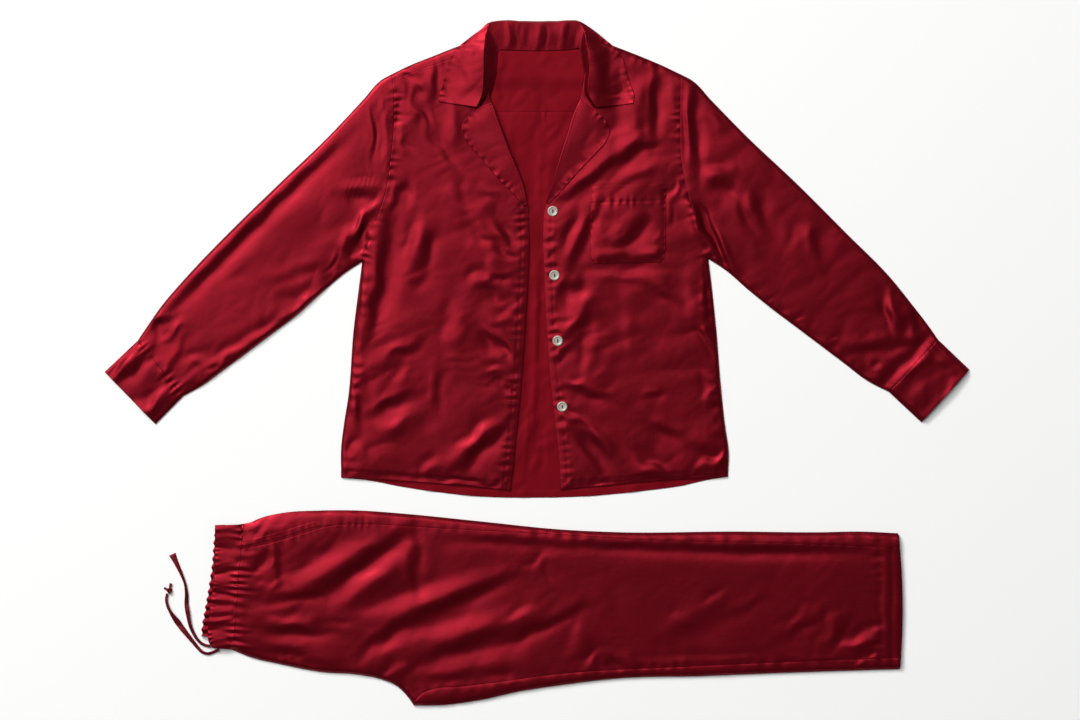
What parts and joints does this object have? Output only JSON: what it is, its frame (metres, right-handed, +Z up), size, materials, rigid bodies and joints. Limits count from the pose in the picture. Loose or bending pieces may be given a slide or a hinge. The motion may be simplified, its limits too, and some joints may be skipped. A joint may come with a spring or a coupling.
{
  "type": "pyjama set laid out flat",
  "caption": "Long-sleeved camp-collar satin pyjama shirt, open at the front, and drawstring trousers folded leg on leg, both laid flat.",
  "frame": {"origin": "on the surface that the set lies on, under the middle of the whole set without its drawstring tails", "axes": "+X towards the wearer's left, along the trousers from waist to hem; +Y from the shirt's hem towards its collar; +Z up from the surface"},
  "size_m": [1.235, 0.978, 0.0119],
  "materials": {
    "crimson_satin": "glossy satin weave, crimson",
    "crimson_satin_reverse": "matt reverse of the satin",
    "crimson_tape": "narrow satin tape",
    "pearl_shell": "pearly shell buttons"
  },
  "bodies": {
    "root": {"shirt_back": "crimson_satin_reverse", "shirt_back_yoke": "crimson_satin_reverse", "yoke_shoulder_right": "crimson_satin", "yoke_shoulder_left": "crimson_satin", "shirt_front_right": "crimson_satin", "shirt_front_left": "crimson_satin", "sleeve_right": "crimson_satin", "sleeve_left": "crimson_satin", "cuff_right": "crimson_satin", "cuff_left": "crimson_satin", "collar": "crimson_satin", "collar_fall": "crimson_satin", "lapel_facing_right": "crimson_satin", "lapel_facing_left": "crimson_satin", "chest_pocket": "crimson_satin", "button_1": "pearl_shell", "button_2": "pearl_shell", "button_3": "pearl_shell", "button_4": "pearl_shell", "trouser_front_left": "crimson_satin", "side_pocket_left": "crimson_satin", "trouser_folded_layers": "crimson_satin", "waistband": "crimson_satin", "waistband_folded_layers": "crimson_satin", "drawstring_a": "crimson_tape", "drawstring_b": "crimson_tape", "drawstring_knot": "crimson_tape"}
  },
  "joints": []
}
